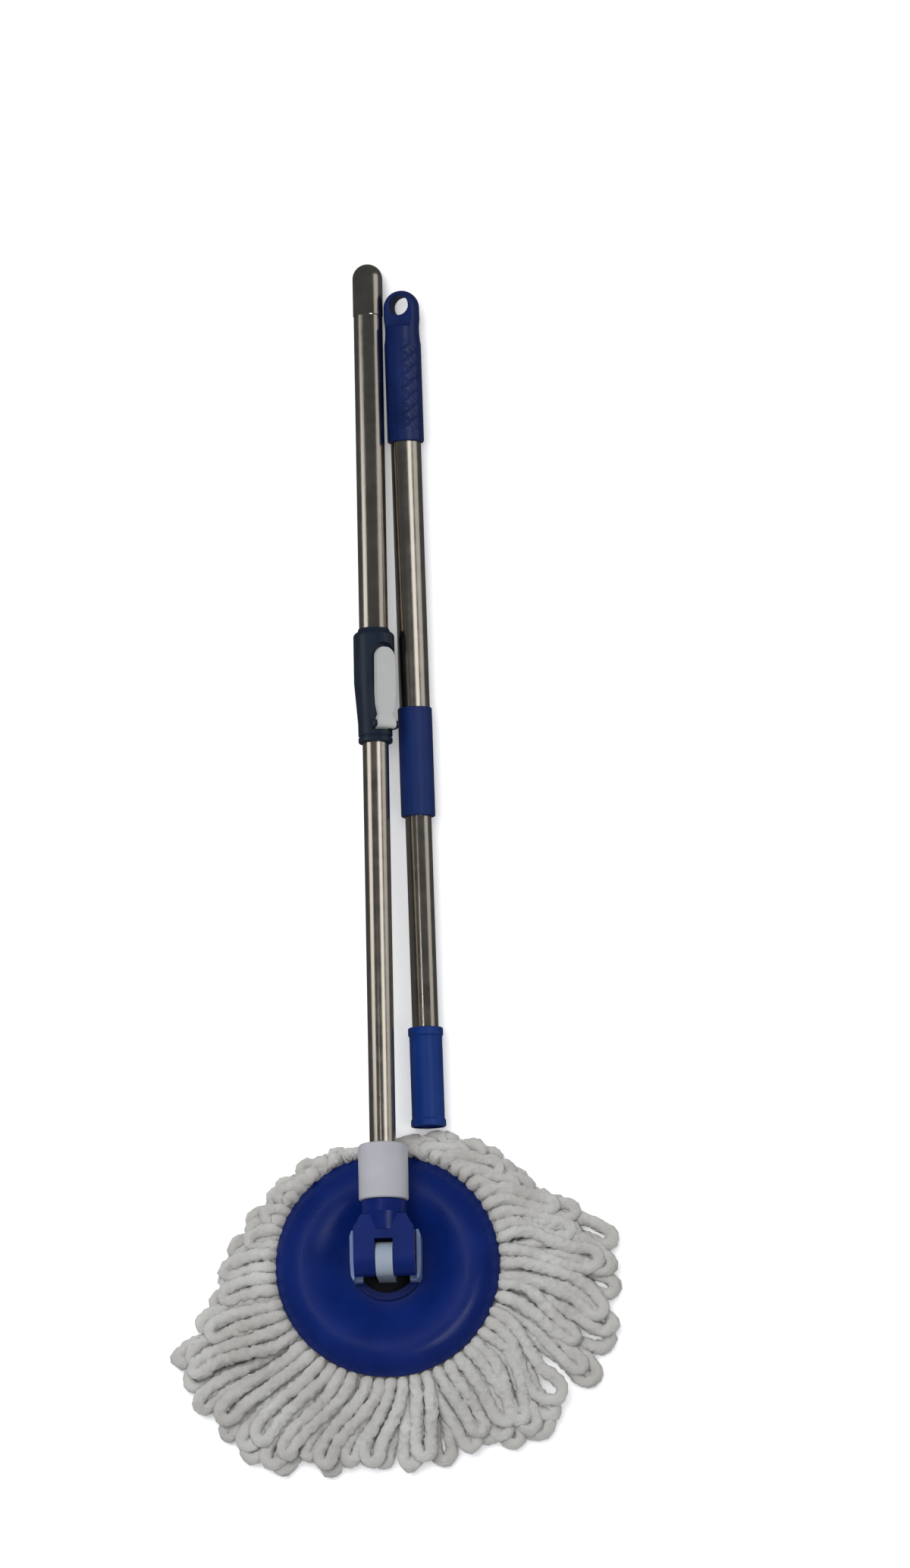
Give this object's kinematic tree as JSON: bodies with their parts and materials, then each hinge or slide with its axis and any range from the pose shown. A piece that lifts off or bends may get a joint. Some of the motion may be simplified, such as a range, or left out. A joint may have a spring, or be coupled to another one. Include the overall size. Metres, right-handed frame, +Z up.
{
  "type": "spin mop",
  "caption": "Spin mop lying folded: round mop head on a tilting fork, push-to-spin telescopic pole with flip lock, and a separate upper handle half with grip, collar and socket.",
  "frame": {"origin": "on the floor straight below the tilt pin, at the centre of the head; the mop lies taken apart on the floor", "axes": "+Z up, +Y from the head along the lower half of the handle, +X towards the separate upper half; the handle lies folded flat over the head"},
  "size_m": [0.318, 0.886, 0.0637],
  "materials": {
    "disc_blue": "deep blue moulded plastic, polished",
    "ring_white": "white moulded ring",
    "microfibre": "looped microfibre strands, off-white",
    "hub_blue": "deep blue moulded plastic",
    "black_plastic": "black moulded plastic",
    "guide_grey": "pale blue-grey nylon",
    "lug_grey": "light grey nylon",
    "pin_steel": "bright steel",
    "yoke_blue": "deep blue moulded plastic",
    "connector_white": "white moulded plastic",
    "tube_steel": "polished stainless steel tube",
    "nylon": "natural nylon",
    "housing_navy": "dark navy moulded plastic",
    "lever_white": "off-white moulded plastic",
    "grip_navy": "navy moulded grip with an embossed pattern",
    "collar_blue": "plain blue moulded collar",
    "sleeve_blue": "blue moulded sleeve"
  },
  "bodies": {
    "head": {"disc_plate": "disc_blue", "refill_ring": "ring_white", "mop_strands": "microfibre", "hub_cup": "hub_blue", "fork_guides": "guide_grey", "hub_floor": "black_plastic", "pivot_lug": "lug_grey", "tilt_pin": "pin_steel", "hub_screws": "pin_steel"},
    "lower_pole": {"yoke": "yoke_blue", "connector": "connector_white", "lower_tube": "tube_steel", "tube_pin": "pin_steel", "clutch_cage": "black_plastic", "drive_nut": "nylon", "ratchet_ring": "pin_steel", "clutch_spring": "pin_steel", "bush_clip": "pin_steel"},
    "guide": {"guide_bush": "nylon"},
    "upper_pole": {"upper_tube": "tube_steel", "twisted_bar": "pin_steel", "bar_anchor": "black_plastic", "anchor_pin": "pin_steel", "end_cap": "tube_steel", "lock_housing": "housing_navy", "clamp_ring": "nylon", "lever_pin": "pin_steel"},
    "lever": {"lock_lever": "lever_white"},
    "handle": {"handle_grip": "grip_navy", "handle_tube": "tube_steel", "handle_collar": "collar_blue"},
    "twist_sleeve": {"lock_sleeve": "nylon"},
    "extension": {"extension_tube": "tube_steel", "lock_cam": "black_plastic", "end_sleeve": "sleeve_blue", "sleeve_rivet": "pin_steel"}
  },
  "joints": [
    {"name": "tilt", "type": "hinge", "parent": "head", "child": "lower_pole", "pos_m": [0, 0, 0.048], "axis": [1, 0, 0], "range_deg": [0, 180]},
    {"name": "spin", "type": "hinge", "parent": "lower_pole", "child": "guide", "pos_m": [0, 0.47637, 0.02346], "axis": [0, 0.9987, -0.0514], "range_deg": [0, 650]},
    {"name": "stroke", "type": "slide", "parent": "guide", "child": "upper_pole", "axis": [0, -0.9987, 0.0514], "range_m": [0, 0.18]},
    {"name": "lock_lever_turn", "type": "hinge", "parent": "upper_pole", "child": "lever", "pos_m": [0.00786, 0.38956, 0.03917], "axis": [0.8192, -0.0295, -0.5728], "range_deg": [0, 100]},
    {"name": "handle_lift", "type": "slide", "parent": "head", "child": "handle", "axis": [0, 0, 1], "range_m": [0, 0.3]},
    {"name": "extend", "type": "slide", "parent": "handle", "child": "twist_sleeve", "axis": [0.0119, -0.9999, 0], "range_m": [-0.15, 0]},
    {"name": "twist_lock", "type": "hinge", "parent": "twist_sleeve", "child": "extension", "pos_m": [0.02804, 0.39848, 0.0133], "axis": [-0.0119, 0.9999, 0], "range_deg": [0, 90]}
  ],
  "couplings": [
    {"joint": "spin", "follows": "stroke", "rad_per_m": 62.832}
  ]
}
